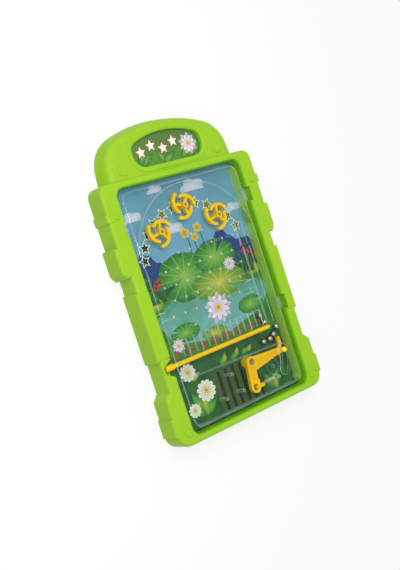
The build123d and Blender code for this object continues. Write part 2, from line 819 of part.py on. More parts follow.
with BuildPart() as launch_lever:
    with BuildSketch(at_pivot(arm_low)):
        Circle(lever_arm_radius)
        with Locations((lever_arm_reach, lever_tip_y)):
            Circle(lever_tip_radius)
        make_hull()
    extrude(amount=lever_arm_height)
    with BuildSketch(at_pivot(arm_low)):
        Circle(lever_boss_radius)
        with Locations(lever_lower):
            Circle(lever_lower_radius)
        make_hull()
    extrude(amount=lever_arm_height)
    with BuildSketch(at_pivot(arm_low)):
        Polygon(*lever_web, align=None)
    extrude(amount=lever_arm_height)
    # Web sunk below the raised edges of both arms
    with BuildSketch(at_pivot(arm_high - lever_pocket_depth)):
        Polygon(*lever_pocket, align=None)
    extrude(amount=lever_pocket_depth, mode=Mode.SUBTRACT)
    # Pivot boss with a narrower ring on top, and its bore
    with BuildSketch(at_pivot(card_top + end_clearance)):
        Circle(lever_boss_radius)
    extrude(amount=arm_high - lever_pocket_depth - card_top - end_clearance)
    with BuildSketch(at_pivot(card_top + end_clearance)):
        Circle(lever_ring_radius)
    extrude(amount=play_height - 2 * end_clearance)
    with BuildSketch(at_pivot(card_top)):
        Circle(pivot_pin_radius + running_clearance)
    extrude(amount=play_height, mode=Mode.SUBTRACT)
    with BuildSketch(at_pivot(arm_low)):
        with Locations(lever_lower):
            Circle(lever_hole_radius)
    extrude(amount=lever_arm_height, mode=Mode.SUBTRACT)
    # Hook for the spring, with a head
    with BuildSketch(Plane.YZ.offset(hook_start)):
        with Locations((body_y + hook_y, spring_z)):
            Circle(hook_radius)
    extrude(amount=hook_end - hook_start)
    with BuildSketch(Plane.YZ.offset(hook_end - hook_head_length)):
        with Locations((body_y + hook_y, spring_z)):
            Circle(hook_head_radius)
    extrude(amount=hook_head_length)
    # Striker, above the low stop of the lane
    with BuildSketch(at_pivot(card_top + lane_stop_height + striker_clearance)):
        with Locations((lever_arm_reach, lever_tip_y), (striker_x, striker_bend)):
            Circle(striker_width / 2)
        make_hull()
        with Locations((striker_x, (striker_bend + striker_high) / 2)):
            Rectangle(striker_width, striker_high - striker_bend)
    extrude(amount=striker_height)
    # Finger knob through the slot of the cover
    with BuildSketch(at_pivot(arm_high)):
        with Locations((lever_arm_reach, lever_tip_y)):
            Circle(knob_radius)
    extrude(amount=cover_top + knob_rise - arm_high)
    fillet(launch_lever.faces().sort_by(Axis.Z)[-1].edges(), knob_edge_radius)

with BuildPart() as lever_pin:
    with BuildSketch(at_pivot(card_top)):
        Circle(pivot_pin_radius)
    extrude(amount=play_height)


# Launch spring: one unbroken wire, straight tails on the axis and a coil of tangent arcs
def biarc(start, start_direction, end, end_direction):
    """Two tangent arcs from start to end that leave and arrive along the given unit directions."""
    chord = end - start
    both = start_direction + end_direction
    square = both.dot(both) - 4
    along = chord.dot(both)
    reach = (along - sqrt(along**2 - square * chord.dot(chord))) / square
    first_corner = start + start_direction * reach
    last_corner = end - end_direction * reach
    middle = (first_corner + last_corner) * 0.5
    TangentArc(start, middle, tangent=start_direction)
    TangentArc(middle, end, tangent=(last_corner - first_corner).normalized())


spring_left = Vector(hook_end, body_y + spring_y, spring_z)
spring_right = Vector(spring_post_x - post_radius, body_y + spring_y, spring_z)
coil_start = (spring_left.X + spring_right.X - spring_turns * spring_pitch) / 2
coil_nodes = []
for half_turn in range(2 * spring_turns + 1):
    angle = pi * half_turn
    node = Vector(
        coil_start + half_turn * spring_pitch / 2,
        spring_left.Y + spring_coil_radius * cos(angle),
        spring_z + spring_coil_radius * sin(angle),
    )
    direction = Vector(
        spring_pitch / (2 * pi), -spring_coil_radius * sin(angle), spring_coil_radius * cos(angle)
    ).normalized()
    coil_nodes.append((node, direction))

with BuildPart() as launch_spring:
    with BuildLine() as spring_path:
        axis_direction = Vector(1, 0, 0)
        tail_end = spring_left + axis_direction * spring_tail
        tail_start = spring_right - axis_direction * spring_tail
        Line(spring_left, tail_end)
        stations = [(tail_end, axis_direction), *coil_nodes, (tail_start, axis_direction)]
        for (start, start_direction), (end, end_direction) in zip(stations, stations[1:]):
            biarc(start, start_direction, end, end_direction)
        Line(tail_start, spring_right)
    with BuildSketch(Plane(spring_left, z_dir=axis_direction)):
        Circle(spring_wire / 2)
    sweep()

spring_wire_path = spring_path.wire()
spring_samples = [
    spring_wire_path @ (number / spring_samples_taken) for number in range(spring_samples_taken + 1)
]
samples_per_turn = round(spring_samples_taken * 2 * pi * spring_coil_radius / spring_wire_path.length)
spring_gap = min(
    (first - second).length
    for number, first in enumerate(spring_samples)
    for second in spring_samples[number + samples_per_turn // 2 :]
)
print(f"least gap of the spring to itself: {spring_gap - spring_wire:.2f} mm")

# Release bar: a shaft under the cover with a flap that closes the score slots
release_knob_right = -cover_half_x - release_knob_gap
release_knob_left = release_knob_right - release_knob_length
bar_left_end = release_knob_left + release_knob_cap
flap_left = -inner_half_x + flap_left_gap

with BuildPart() as release_bar:
    shaft_right = bar_bearing_x - bar_bearing_thickness / 2 - end_clearance
    with BuildSketch(Plane.YZ.offset(bar_left_end)):
        with Locations((body_y + bar_y, bar_z)):
            Circle(bar_radius)
    extrude(amount=shaft_right - bar_left_end)
    with BuildSketch(Plane.YZ.offset(shaft_right)):
        with Locations((body_y + bar_y, bar_z)):
            Circle(bar_stub_radius)
    extrude(amount=bar_right_end - shaft_right)
    with BuildSketch(field(card_top + end_clearance)):
        with Locations(((flap_left + flap_right) / 2, bar_y)):
            Rectangle(flap_right - flap_left, flap_thickness)
    extrude(amount=bar_z - card_top - end_clearance)

with BuildPart() as release_knob:
    with BuildSketch(Plane.YZ.offset(release_knob_left)):
        with Locations((body_y + bar_y, bar_z), (body_y + bar_y, bar_z - release_knob_drop)):
            Circle(release_knob_radius)
        make_hull()
    extrude(amount=release_knob_length)
    fillet(release_knob.faces().sort_by(Axis.X)[0].edges(), knob_edge_radius)
    with BuildSketch(Plane.YZ.offset(bar_left_end)):
        with Locations((body_y + bar_y, bar_z)):
            Circle(bar_radius + press_clearance)
    extrude(amount=release_knob_right - bar_left_end, mode=Mode.SUBTRACT)


# Steel balls on the card
def balls(spots):
    """Loose balls at spots of the playfield."""
    with BuildPart() as group:
        with Locations(*[(x, body_y + y, card_top + ball_rest + ball_radius) for x, y in spots]):
            Sphere(ball_radius)
    return group


lane_ball = balls([lane_ball_spot])
trough_balls = balls(trough_ball_spots)
slot_balls = balls(slot_ball_spots)

pieces = {
    "front_frame": front_frame,
    "back_cover": back_cover,
    "back_cover_screws": back_cover_screws,
    "playfield_card": playfield_card,
    "header_card": header_card,
    "clear_cover": clear_cover,
    "arch_rail": arch_rail,
    "lane_rail": lane_rail,
    "trough_rail": trough_rail,
    "pegs": pegs,
    "slot_dividers": slot_dividers,
    "support_posts": support_posts,
    "spring_post": spring_post,
    "spinner_left": spinner_left,
    "spinner_middle": spinner_middle,
    "spinner_right": spinner_right,
    "spinner_pins": spinner_pins,
    "launch_lever": launch_lever,
    "lever_pin": lever_pin,
    "launch_spring": launch_spring,
    "release_bar": release_bar,
    "release_knob": release_knob,
    "lane_ball": lane_ball,
    "trough_balls": trough_balls,
    "slot_balls": slot_balls,
}
os.makedirs("parts", exist_ok=True)
for name, piece in pieces.items():
    piece.part.label = name
    export_step(piece.part, f"parts/{name}.step")
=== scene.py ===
"""Tabletop pinball game: a lime moulded casing round a printed playfield under a clear cover."""
from math import radians

import bpy
import numpy as np
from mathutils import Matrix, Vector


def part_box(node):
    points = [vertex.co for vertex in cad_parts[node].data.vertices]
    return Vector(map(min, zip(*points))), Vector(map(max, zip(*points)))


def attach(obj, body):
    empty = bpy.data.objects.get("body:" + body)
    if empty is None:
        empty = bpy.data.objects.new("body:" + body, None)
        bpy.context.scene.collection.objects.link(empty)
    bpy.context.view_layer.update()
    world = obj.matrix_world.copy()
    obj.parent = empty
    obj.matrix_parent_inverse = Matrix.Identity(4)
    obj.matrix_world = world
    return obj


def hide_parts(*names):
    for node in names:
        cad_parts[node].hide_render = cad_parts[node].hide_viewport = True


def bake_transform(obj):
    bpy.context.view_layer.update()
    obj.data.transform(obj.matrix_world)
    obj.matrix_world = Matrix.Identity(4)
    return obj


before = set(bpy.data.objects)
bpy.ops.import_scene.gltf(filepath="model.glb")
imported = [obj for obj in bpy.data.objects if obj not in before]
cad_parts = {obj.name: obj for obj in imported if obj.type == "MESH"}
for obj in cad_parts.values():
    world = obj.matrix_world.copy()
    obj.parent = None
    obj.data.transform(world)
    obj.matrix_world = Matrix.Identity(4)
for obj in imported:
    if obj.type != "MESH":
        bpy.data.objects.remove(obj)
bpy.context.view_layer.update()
scene = bpy.context.scene
scene.view_settings.view_transform = "Standard"


# Studio camera.
# The game lies on its back. It is seen from above its left side and stands askew in the picture.
camera = bpy.data.objects.new("camera", bpy.data.cameras.new("camera"))
camera.location = (-0.51697, 0.02205, 0.69394)
camera.rotation_euler = (radians(10.670), radians(-35.298), radians(-22.247))
camera.data.lens = 57.34
scene.collection.objects.link(camera)
scene.camera = camera


# Studio light.
# An even pale surround fills the shadows and is white to the eye. A broad soft lamp hangs over the game, and
# a small one by the camera lights the recesses and gives polished faces their glints.
def linear(hex_colour):
    """Linear colour of an sRGB hex value."""
    s = np.array([int(hex_colour[i : i + 2], 16) for i in (1, 3, 5)]) / 255
    return (*np.where(s <= 0.04045, s / 12.92, ((s + 0.055) / 1.055) ** 2.4), 1.0)


def add_node(tree, kind, inputs=None, **settings):
    """Adds a node, sets its properties, and fills its inputs with values or with other nodes' outputs."""
    node = tree.nodes.new(kind)
    for name, value in settings.items():
        setattr(node, name, value)
    for socket, value in (inputs or {}).items():
        if isinstance(value, bpy.types.NodeSocket):
            tree.links.new(value, node.inputs[socket])
        else:
            node.inputs[socket].default_value = value
    return node


world = bpy.data.worlds.new("studio")
world.use_nodes = True
scene.world = world
tree = world.node_tree
tree.nodes.clear()
path = add_node(tree, "ShaderNodeLightPath")
seen = add_node(tree, "ShaderNodeMath",
                {0: path.outputs["Is Camera Ray"], 1: path.outputs["Is Glossy Ray"]}, operation="MAXIMUM")
seen = add_node(tree, "ShaderNodeMath",
                {0: seen.outputs[0], 1: path.outputs["Is Transmission Ray"]}, operation="MAXIMUM")
fill = add_node(tree, "ShaderNodeBackground", {"Color": linear("#f4f6f8"), "Strength": 0.63})
white = add_node(tree, "ShaderNodeBackground", {"Color": linear("#ffffff"), "Strength": 1.0})
surround = add_node(tree, "ShaderNodeMixShader",
                    {0: seen.outputs[0], 1: fill.outputs[0], 2: white.outputs[0]})
add_node(tree, "ShaderNodeOutputWorld", {"Surface": surround.outputs[0]})

for name, size, energy, location, (tilt_x, tilt_y) in [
        ("soft_lamp", 0.9, 5.3, (-0.28, 0.40, 0.98), (-20, -15)),
        ("glint_lamp", 0.14, 2.0, (-0.50, 0.08, 0.75), (-6, -34))]:
    lamp = bpy.data.objects.new(name, bpy.data.lights.new(name, "AREA"))
    lamp.data.size = size
    lamp.data.energy = energy
    lamp.location = location
    lamp.rotation_euler = (radians(tilt_x), radians(tilt_y), 0)
    scene.collection.objects.link(lamp)


# Studio floor.
# A sheet of matt white paper that takes the shadow. Only a camera over it sees it, so light from below still
# reaches the back of the game.
def empty_material(name):
    """Material with no nodes yet, and its node tree."""
    material = bpy.data.materials.new(name)
    material.use_nodes = True
    material.node_tree.nodes.clear()
    return material, material.node_tree


floor_half, floor_z = 3.0, -0.0004
floor_corners = floor_half * np.array([(-1, -1, 0), (1, -1, 0), (1, 1, 0), (-1, 1, 0)]) + (0, 0, floor_z)
floor_mesh = bpy.data.meshes.new("studio_floor")
floor_mesh.from_pydata(floor_corners.tolist(), [], [(0, 1, 2, 3)])
floor = bpy.data.objects.new("studio_floor", floor_mesh)
scene.collection.objects.link(floor)
material, tree = empty_material("matt_white_paper")
paper = add_node(tree, "ShaderNodeBsdfDiffuse", {"Color": linear("#f2f2f0")})
glow = add_node(tree, "ShaderNodeEmission", {"Color": linear("#ffffff"), "Strength": 1.0})
sheet = add_node(tree, "ShaderNodeMixShader", {0: 0.72, 1: paper.outputs[0], 2: glow.outputs[0]})
facing = add_node(tree, "ShaderNodeNewGeometry")
path = add_node(tree, "ShaderNodeLightPath")
above = add_node(tree, "ShaderNodeMath", {0: 1.0, 1: facing.outputs["Backfacing"]}, operation="SUBTRACT")
above = add_node(tree, "ShaderNodeMath",
                 {0: above.outputs[0], 1: path.outputs["Is Camera Ray"]}, operation="MULTIPLY")
clear = add_node(tree, "ShaderNodeBsdfTransparent")
mixed = add_node(tree, "ShaderNodeMixShader", {0: above.outputs[0], 1: clear.outputs[0], 2: sheet.outputs[0]})
add_node(tree, "ShaderNodeOutputMaterial", {"Surface": mixed.outputs[0]})
floor_mesh.materials.append(material)


# Casing: front frame and back cover.
# Two lime-green ABS mouldings screwed together from behind. The tool's fine spark grain leaves a satin gloss,
# the colour drifts a little over the large walls, and the inner walls of the opening carry a deeper green as
# painted shade.
def moulded_abs(name, colour, drift, roughness, grain_mm, shine, depth_mm=0.0, depth_share=0.0,
                painted_top_light=None, painted_recess_shade=None):
    """Moulded ABS: two near colours mixed by a slow noise, and a grain as bump and in the gloss, coarser than
    the real one so that it shows. Light may go so many millimetres into it. It may turn towards a lighter
    colour from one height to another, as a painted highlight, and to a deeper colour on upright walls within
    a rectangle, as painted shade."""
    material, tree = empty_material(name)
    drift_mm = 35.7
    place = add_node(tree, "ShaderNodeTexCoord")
    spot = add_node(tree, "ShaderNodeSeparateXYZ", {"Vector": place.outputs["Object"]})
    slow = add_node(tree, "ShaderNodeTexNoise",
                    {"Vector": place.outputs["Object"], "Scale": 1000.0 / drift_mm, "Detail": 2.0})
    hue = add_node(tree, "ShaderNodeMix",
                   {"Factor": slow.outputs["Fac"], "A": linear(colour), "B": linear(drift)}, data_type="RGBA")
    # Painted highlight: the colour turns lighter from one height to the next, and stays so above it.
    if painted_top_light:
        low_mm, high_mm, polished = painted_top_light
        top_light_ramp = add_node(tree, "ShaderNodeMapRange",
                       {"Value": spot.outputs["Z"], "From Min": low_mm / 1000, "From Max": high_mm / 1000})
        hue = add_node(tree, "ShaderNodeMix",
                       {"Factor": top_light_ramp.outputs[0], "A": hue.outputs["Result"], "B": linear(polished)},
                       data_type="RGBA")
    # Painted shade: upright walls within the rectangle turn to a deeper colour.
    if painted_recess_shade:
        half_x_mm, low_mm, high_mm, recess_shade_colour = painted_recess_shade
        across = add_node(tree, "ShaderNodeMath",
                          {0: spot.outputs["X"], 1: 0.0, 2: half_x_mm / 1000}, operation="COMPARE")
        along = add_node(tree, "ShaderNodeMath",
                         {0: spot.outputs["Y"], 1: (low_mm + high_mm) / 2000, 2: (high_mm - low_mm) / 2000},
                         operation="COMPARE")
        inside = add_node(tree, "ShaderNodeMath",
                          {0: across.outputs[0], 1: along.outputs[0]}, operation="MULTIPLY")
        normal = add_node(tree, "ShaderNodeSeparateXYZ", {"Vector": place.outputs["Normal"]})
        level = add_node(tree, "ShaderNodeMath", {0: normal.outputs["Z"]}, operation="ABSOLUTE")
        upright = add_node(tree, "ShaderNodeMapRange",
                           {"Value": level.outputs[0], "From Min": 0.96, "From Max": 0.84})
        shade = add_node(tree, "ShaderNodeMath",
                         {0: inside.outputs[0], 1: upright.outputs[0]}, operation="MULTIPLY")
        hue = add_node(tree, "ShaderNodeMix",
                       {"Factor": shade.outputs[0], "A": hue.outputs["Result"], "B": linear(recess_shade_colour)},
                       data_type="RGBA")
    grain = add_node(tree, "ShaderNodeTexNoise",
                     {"Vector": place.outputs["Object"], "Scale": 1000.0 / grain_mm, "Detail": 3.0})
    bump = add_node(tree, "ShaderNodeBump",
                    {"Height": grain.outputs["Fac"], "Strength": 0.12, "Distance": 0.00008})
    gloss = add_node(tree, "ShaderNodeMapRange",
                     {"Value": grain.outputs["Fac"], "To Min": roughness - 0.05, "To Max": roughness + 0.05})
    shader = add_node(tree, "ShaderNodeBsdfPrincipled",
                      {"Base Color": hue.outputs["Result"], "Roughness": gloss.outputs[0],
                       "Normal": bump.outputs[0], "IOR": 1.53, "Specular IOR Level": shine,
                       "Subsurface Weight": depth_share, "Subsurface Radius": (1.0, 0.6, 0.1),
                       "Subsurface Scale": depth_mm / 1000})
    add_node(tree, "ShaderNodeOutputMaterial", {"Surface": shader.outputs[0]})
    return material


def dress(material, *names):
    """Gives CAD nodes a material in all their slots."""
    for name in names:
        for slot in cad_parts[name].material_slots:
            slot.material = material


# Rectangle round the inner walls of the opening, in millimetres, whose upright walls get a deeper green as
# painted shade
rim_half_x, rim_low, rim_high = 77.5, -142.5, 94.0
lime_abs = moulded_abs("lime_abs_moulded", "#91c01c", "#9bca28", roughness=0.42, grain_mm=0.7, shine=0.18,
                       painted_recess_shade=(rim_half_x, rim_low, rim_high, "#74b40a"))
dress(lime_abs, "front_frame", "back_cover")


# Back screws.
# Eight small self-tapping screws with flat heads, of zinc-plated steel. The plating has a drift in its gloss,
# coarser than the real one so that it shows.
material, tree = empty_material("zinc_plated_steel")
drift_mm = 1.11
place = add_node(tree, "ShaderNodeTexCoord")
drift = add_node(tree, "ShaderNodeTexNoise",
                 {"Vector": place.outputs["Object"], "Scale": 1000.0 / drift_mm, "Detail": 4.0})
gloss = add_node(tree, "ShaderNodeMapRange", {"Value": drift.outputs["Fac"], "To Min": 0.25, "To Max": 0.45})
shader = add_node(tree, "ShaderNodeBsdfPrincipled",
                  {"Base Color": linear("#b9bcc0"), "Metallic": 1.0, "Roughness": gloss.outputs[0]})
add_node(tree, "ShaderNodeOutputMaterial", {"Surface": shader.outputs[0]})
dress(material, "back_cover_screws")


# Playfield card.
# White board printed in offset inks and varnished: a pond with floating leaves under a summer sky. The board
# is the CAD card, and each ink is a skin about a hundredth of a millimetre over the one below it.
card_low, card_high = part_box("playfield_card")
opening_y = (card_low.y + card_high.y) / 2 * 1000
card_top = card_high.z * 1000
print_margin = 0.1
card_edge_x = (card_high.x - card_low.x) / 2 * 1000 - print_margin
card_edge_y = (card_high.y - card_low.y) / 2 * 1000 - print_margin
ink_step = 0.0105
shape_step = 0.0003


def print_ink(name, colour, drift, spread_mm=6.0, fade_mm=None):
    """Offset ink under varnish: two near colours in soft patches, or fading between two places up the card
    with such patches in the fade, and the board's tooth in the gloss, coarse enough to show."""
    material, tree = empty_material(name)
    tooth_mm = 0.4
    place = add_node(tree, "ShaderNodeTexCoord")
    mottle = add_node(tree, "ShaderNodeTexNoise",
                      {"Vector": place.outputs["Object"], "Scale": 1000.0 / spread_mm, "Detail": 3.0})
    mask = add_node(tree, "ShaderNodeMapRange",
                    {"Value": mottle.outputs["Fac"], "From Min": 0.35, "From Max": 0.65})
    if fade_mm:
        split = add_node(tree, "ShaderNodeSeparateXYZ", {"Vector": place.outputs["Object"]})
        fade = add_node(tree, "ShaderNodeMapRange",
                        {"Value": split.outputs["Y"], "From Min": (fade_mm[0] + opening_y) / 1000,
                         "From Max": (fade_mm[1] + opening_y) / 1000})
        mask = add_node(tree, "ShaderNodeMix", {"Factor": 0.3, "A": fade.outputs[0], "B": mask.outputs[0]})
    hue = add_node(tree, "ShaderNodeMix",
                   {"Factor": mask.outputs[0], "A": linear(colour), "B": linear(drift)}, data_type="RGBA")
    tooth = add_node(tree, "ShaderNodeTexNoise",
                     {"Vector": place.outputs["Object"], "Scale": 1000.0 / tooth_mm})
    gloss = add_node(tree, "ShaderNodeMapRange",
                     {"Value": tooth.outputs["Fac"], "To Min": 0.42, "To Max": 0.58})
    shader = add_node(tree, "ShaderNodeBsdfPrincipled",
                      {"Base Color": hue.outputs["Result"], "Roughness": gloss.outputs[0],
                       "Specular IOR Level": 0.25})
    add_node(tree, "ShaderNodeOutputMaterial", {"Surface": shader.outputs[0]})
    return material


def painted_ink(name, heart, blade, rim, rays=0, ray="#ffffff", ray_share=0.0):
    """Ink shaded from the middle of a shape to its rim by the second UV, in three colours, with thin rays of
    even width along the first UV."""
    material, tree = empty_material(name)
    stray_mm = 5.0
    place = add_node(tree, "ShaderNodeTexCoord")
    flat = add_node(tree, "ShaderNodeUVMap", uv_map="painted")
    split = add_node(tree, "ShaderNodeSeparateXYZ", {"Vector": flat.outputs[0]})
    mottle = add_node(tree, "ShaderNodeTexNoise",
                      {"Vector": place.outputs["Object"], "Scale": 1000.0 / stray_mm, "Detail": 3.0})
    stray = add_node(tree, "ShaderNodeMapRange",
                     {"Value": mottle.outputs["Fac"], "To Min": -0.25, "To Max": 0.25})
    reach = add_node(tree, "ShaderNodeMath", {0: split.outputs["Y"], 1: stray.outputs[0]}, operation="ADD")
    inner = add_node(tree, "ShaderNodeMapRange", {"Value": reach.outputs[0], "From Max": 0.62})
    outer = add_node(tree, "ShaderNodeMapRange", {"Value": reach.outputs[0], "From Min": 0.66})
    hue = add_node(tree, "ShaderNodeMix",
                   {"Factor": inner.outputs[0], "A": linear(heart), "B": linear(blade)}, data_type="RGBA")
    hue = add_node(tree, "ShaderNodeMix",
                   {"Factor": outer.outputs[0], "A": hue.outputs["Result"], "B": linear(rim)},
                   data_type="RGBA")
    if rays:
        turn = add_node(tree, "ShaderNodeMath",
                        {0: split.outputs["X"], 1: float(rays)}, operation="MULTIPLY")
        beside = add_node(tree, "ShaderNodeMath", {0: turn.outputs[0], 1: 0.5}, operation="PINGPONG")
        off = add_node(tree, "ShaderNodeMath",
                       {0: beside.outputs[0], 1: split.outputs["Y"]}, operation="MULTIPLY")
        line = add_node(tree, "ShaderNodeMapRange",
                        {"Value": off.outputs[0], "From Min": 0.02, "From Max": 0.07, "To Min": ray_share,
                         "To Max": 0.0})
        hue = add_node(tree, "ShaderNodeMix",
                       {"Factor": line.outputs[0], "A": hue.outputs["Result"], "B": linear(ray)},
                       data_type="RGBA")
    shader = add_node(tree, "ShaderNodeBsdfPrincipled",
                      {"Base Color": hue.outputs["Result"], "Roughness": 0.5, "Specular IOR Level": 0.25})
    add_node(tree, "ShaderNodeOutputMaterial", {"Surface": shader.outputs[0]})
    return material


def lay_print(name, shapes, faces, layer, ink, level):
    """Skin of ink from shapes in millimetres round the middle of the opening: so many ink layers over a card,
    and each shape a hair over the one before it."""
    points = np.concatenate(shapes)
    order = np.repeat(np.arange(len(shapes)), [len(shape) for shape in shapes])
    height = level + layer * ink_step + order * shape_step
    place = np.column_stack([points[:, 0], points[:, 1] + opening_y, height]) / 1000
    mesh = bpy.data.meshes.new(name)
    mesh.from_pydata(place.tolist(), [], faces)
    mesh.materials.append(ink)
    piece = bpy.data.objects.new(name, mesh)
    scene.collection.objects.link(piece)
    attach(piece, "casing")
    return mesh


def patches(name, outlines, layer, ink, slot="playfield_print", level=card_top):
    """Closed outlines, each filled as one face."""
    ends = np.cumsum([0] + [len(edge) for edge in outlines])
    faces = [list(range(a, b)) for a, b in zip(ends[:-1], ends[1:])]
    lay_print(name, outlines, faces, layer, ink, level)


def fans(name, outlines, layer, ink, slot="playfield_print", level=card_top):
    """Closed outlines, each filled by triangles from its middle. The UV is the share of the way round, and
    the share of the way out."""
    shapes, faces, spread, start = [], [], [], 0
    for edge in outlines:
        count = len(edge)
        shapes.append(np.vstack([edge, edge.mean(axis=0)]))
        here = np.arange(count)
        middle = np.full(count, start + count)
        faces += np.column_stack([middle, start + here, start + (here + 1) % count]).tolist()
        around = np.column_stack([here + 0.5, here, here + 1]) / count
        outward = np.tile([0.0, 1.0, 1.0], (count, 1))
        spread.append(np.stack([around, outward], axis=-1).reshape(-1, 2))
        start += count + 1
    mesh = lay_print(name, shapes, faces, layer, ink, level)
    mesh.uv_layers.new(name="painted").data.foreach_set("uv", np.concatenate(spread).ravel())


def strokes(name, paths, widths, layer, ink):
    """Strokes of the brush: each path gets points at half its width to both sides, joined by quads."""
    shapes, faces, start = [], [], 0
    for line, width in zip(paths, widths):
        along = np.gradient(line, axis=0)
        across = np.column_stack([-along[:, 1], along[:, 0]]) / np.linalg.norm(along, axis=1)[:, None]
        reach = across * (np.broadcast_to(width, len(line)) / 2)[:, None]
        shapes.append(np.vstack([line + reach, line - reach]))
        step = np.arange(len(line) - 1)
        left, right = start + step, start + len(line) + step
        faces += np.column_stack([left, right, right + 1, left + 1]).tolist()
        start += 2 * len(line)
    lay_print(name, shapes, faces, layer, ink, card_top)


def turned(flat, x, y, turn):
    """Points turned by degrees round the origin and moved to a place."""
    c, s = np.cos(radians(turn)), np.sin(radians(turn))
    return flat @ np.array([[c, s], [-s, c]]) + (x, y)


def outline(x, y, half_x, half_y, reach, turn=0.0):
    """Closed outline: an ellipse whose points, evenly spaced round it, are moved out or in by a reach."""
    angle = np.linspace(0, 2 * np.pi, len(reach), endpoint=False)
    flat = np.column_stack([half_x * reach * np.cos(angle), half_y * reach * np.sin(angle)])
    return turned(flat, x, y, turn)


def petal(x, y, length, width, turn, corners=14):
    """Outline of a pointed leaf: half the width times a lopsided sine on both sides of its midrib."""
    t = np.linspace(0, 1, corners)
    bulge = width / 2 * np.sin(np.pi * t**0.8)
    upper, lower = np.column_stack([length * t, bulge]), np.column_stack([length * t, -bulge])
    return turned(np.concatenate([upper, lower[-2:0:-1]]), x, y, turn)


def ridge(low, top, waves):
    """Outline under a hill line from edge to edge of the card: a height plus sines of given height, length
    and shift, closed along a base line."""
    x = np.linspace(-card_edge_x, card_edge_x, 160)
    y = top + sum(height * np.sin(2 * np.pi * (x + shift) / length) for height, length, shift in waves)
    return np.column_stack([np.append(x, [card_edge_x, -card_edge_x]), np.append(y, [low, low])])


white_board = print_ink("white_board", "#e9e8e2", "#e2e1da", 3.0)
dress(white_board, "playfield_card", "header_card")
lap = np.linspace(0, 1, 120, endpoint=False)
round_reach = np.ones(48)

# Sky with clouds, whose reach swells in five bumps and is cut flat below
card_outline = np.array([(-1, -1), (1, -1), (1, 1), (-1, 1)]) * (card_edge_x, card_edge_y)
sky_ink = print_ink("sky_ink", "#76a9c6", "#5b8da6", 26.0, (20, 112))
patches("sky_print", [card_outline], 1, sky_ink)
cloud_reach = 1 + 0.3 * np.abs(np.sin(5 * np.pi * lap))
floor_reach = 0.32 / np.maximum(-np.sin(2 * np.pi * lap), 1e-3)
cloud_reach = np.where(lap > 0.5, np.minimum(cloud_reach, floor_reach), cloud_reach)
cloud_ink = painted_ink("cloud_ink", "#d3d0de", "#c2c6d8", "#a9bccf")
clouds = [(-58, 86, 8), (20, 100, 10), (-18, 66, 9), (60, 70, 7), (-24, 106, 6)]
fans("cloud_print", [outline(x, y, 1.2 * size, 0.75 * size, cloud_reach) for x, y, size in clouds],
     2, cloud_ink)

# Hills, bushes and meadow
hill_ink = print_ink("hill_ink", "#1f4468", "#2a3f80", 14.0, (20, 50))
patches("far_hill_print", [ridge(4, 42, [(9, 96, -8), (3, 31, 4), (1, 9, 0)])], 3, hill_ink)
bush_ink = print_ink("bush_ink", "#2c5c3c", "#1b3a33", 9.0, (6, 36))
patches("bush_print", [ridge(-30, 27, [(6, 110, 28), (1.8, 13, 2), (0.9, 5, 0)])], 4, bush_ink)
meadow_ink = print_ink("meadow_ink", "#2f6b2b", "#478934", 12.0)
patches("meadow_print", [ridge(-66, 12, [(4, 120, 10), (1.2, 17, 3)])], 5, meadow_ink)

# Pond with ripples
pond_ink = print_ink("pond_ink", "#7cb0b8", "#4a8c62", 10.0, (-36, 2))
shore = 1 + 0.05 * np.sin(6 * np.pi * lap + 1) + 0.03 * np.sin(14 * np.pi * lap)
patches("pond_print", [outline(0, -16, 68, 25, shore)], 6, pond_ink)
ripple_ink = print_ink("ripple_ink", "#a9cfc6", "#93bfae", 5.0)
arc = np.linspace(0, np.pi, 24)
ripples = [(-54, -12, 8), (-47, -21, 6), (54, -4, 8), (48, -15, 6), (57, -23, 5), (-60, -4, 5), (14, -37, 7)]
ripple_paths = [np.column_stack([x + half * np.cos(arc), y + 0.28 * half * np.sin(arc)])
                for x, y, half in ripples]
strokes("ripple_print", ripple_paths, [0.1 + 0.7 * np.sin(arc)] * len(ripples), 7, ripple_ink)

# Floating leaves: a rippled rim with one slit to the middle, and pale veins
pad_reach = 1 + 0.02 * np.sin(18 * np.pi * lap)
pad_reach[[0, 1, 2, -2, -1]] = (0.06, 0.4, 0.72, 0.72, 0.4)
leaf_ink = painted_ink("leaf_ink", "#86ad45", "#3f8c36", "#2a6a30", 14, "#8fb656", 0.55)
young_leaf_ink = painted_ink("young_leaf_ink", "#b3b648", "#7c9a33", "#557f2e", 14, "#c3c766", 0.55)
leaves = [(-22, 22, 30, 23, 68), (20, 31, 25, 17, 20), (44, -24, 16, 8.5, 6), (-40, -27, 17, 8.5, 50)]
young_leaves = [(16, 6, 33, 15, 105), (-8, -37, 15, 6, 40), (-62, 6, 9, 6, 4), (60, 8, 10, 6, 56)]
for name, pads, layer, ink in [("leaf_print", leaves, 7, leaf_ink),
                               ("young_leaf_print", young_leaves, 8, young_leaf_ink)]:
    fans(name, [outline(x, y, half_x, half_y, np.roll(pad_reach, slit))
                for x, y, half_x, half_y, slit in pads], layer, ink)

# Reeds and red flowers, strewn along both sides
blade_ink = print_ink("blade_ink", "#1d452a", "#3b7a33", 7.0)
t = np.linspace(0, 1, 12)
rng = np.random.default_rng(4)
blades = []
for side in (-1, 1):
    for x, lean, height in zip(rng.uniform(48, 75, 18), rng.uniform(-9, 9, 18), rng.uniform(14, 34, 18)):
        blades.append(np.column_stack([side * x + lean * t**2, 6 + height * t]))
strokes("reed_print", blades, [2.6 * (1 - t) + 0.15] * len(blades), 9, blade_ink)
flower_reach = 0.45 + 0.55 * np.abs(np.cos(5 * np.pi * lap)) ** 0.6
poppy_ink = painted_ink("poppy_ink", "#5c1f22", "#a8332f", "#c65345")
poppies = np.column_stack([rng.uniform(50, 71, 10) * np.tile([-1, 1], 5), rng.uniform(12, 36, 10)])
fans("poppy_print", [outline(x, y, 3.0, 3.0, flower_reach, 40 * x) for x, y in poppies], 10, poppy_ink)

